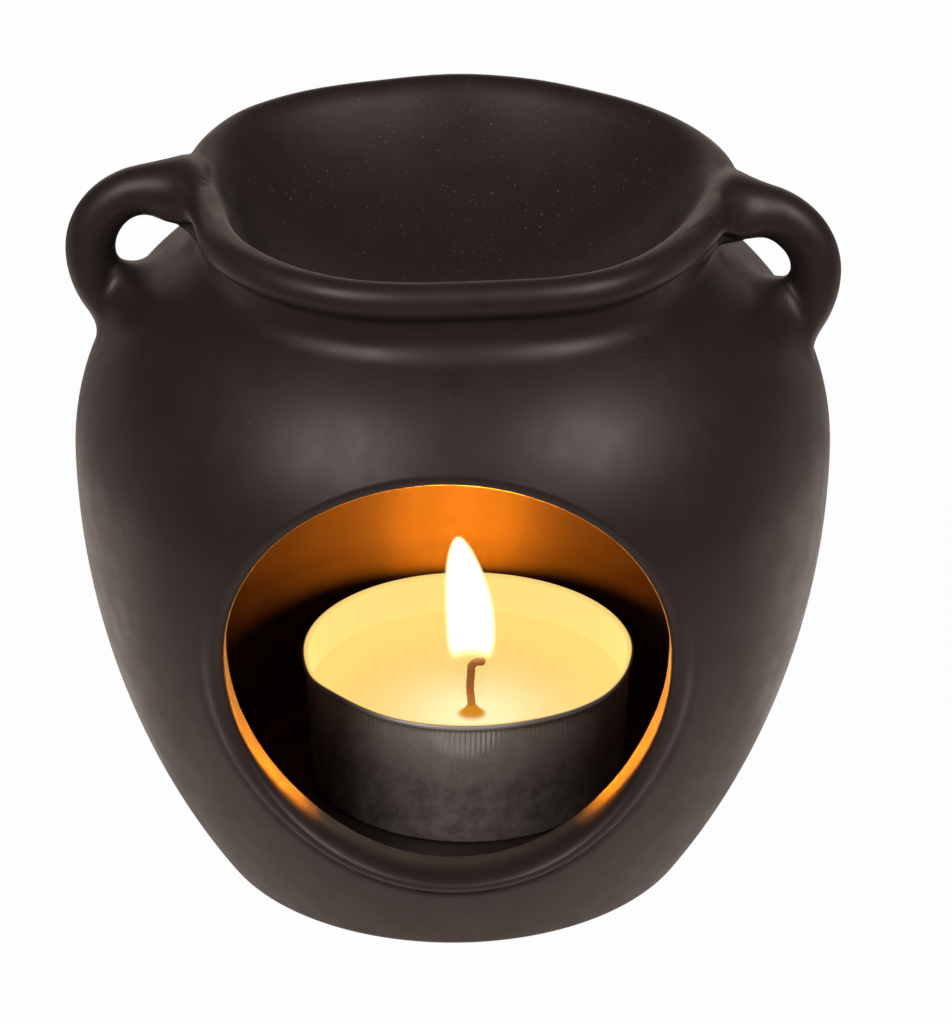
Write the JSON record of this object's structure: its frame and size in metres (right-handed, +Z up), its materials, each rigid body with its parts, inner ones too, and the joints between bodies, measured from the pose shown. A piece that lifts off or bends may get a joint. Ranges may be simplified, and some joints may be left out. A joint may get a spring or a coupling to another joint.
{
  "type": "essential oil burner",
  "caption": "Round-bellied ceramic oil burner with a shallow dish in its mouth, ear handles at the rim and a round front window through which a tealight lifts out.",
  "frame": {"origin": "centre of the flat underside of the foot, on the surface that the burner stands on", "axes": "+Z up along the pot's axis, -Y out of the front window, +X to the right seen from the front, ear handles along X"},
  "size_m": [0.085, 0.0801, 0.0822],
  "materials": {
    "stoneware": "matt dark brown",
    "cup_metal": "thin pressed sheet, dulled by heat",
    "wax": "paraffin wax, molten on top",
    "wick_cotton": "waxed cotton, charred at the tip",
    "tinned_steel": "bright tin plate",
    "flame": "candle flame"
  },
  "bodies": {
    "burner": {"pot_body": "stoneware", "oil_dish": "stoneware", "left_ear_handle": "stoneware", "right_ear_handle": "stoneware"},
    "tealight": {"tealight_cup": "cup_metal", "tealight_wax": "wax", "wick": "wick_cotton", "wick_sustainer": "tinned_steel"}
  },
  "joints": [
    {"name": "tealight_slide", "type": "slide", "parent": "burner", "child": "tealight", "axis": [-0.0554, -0.8516, 0.5212], "range_m": [0, 0.082]}
  ]
}
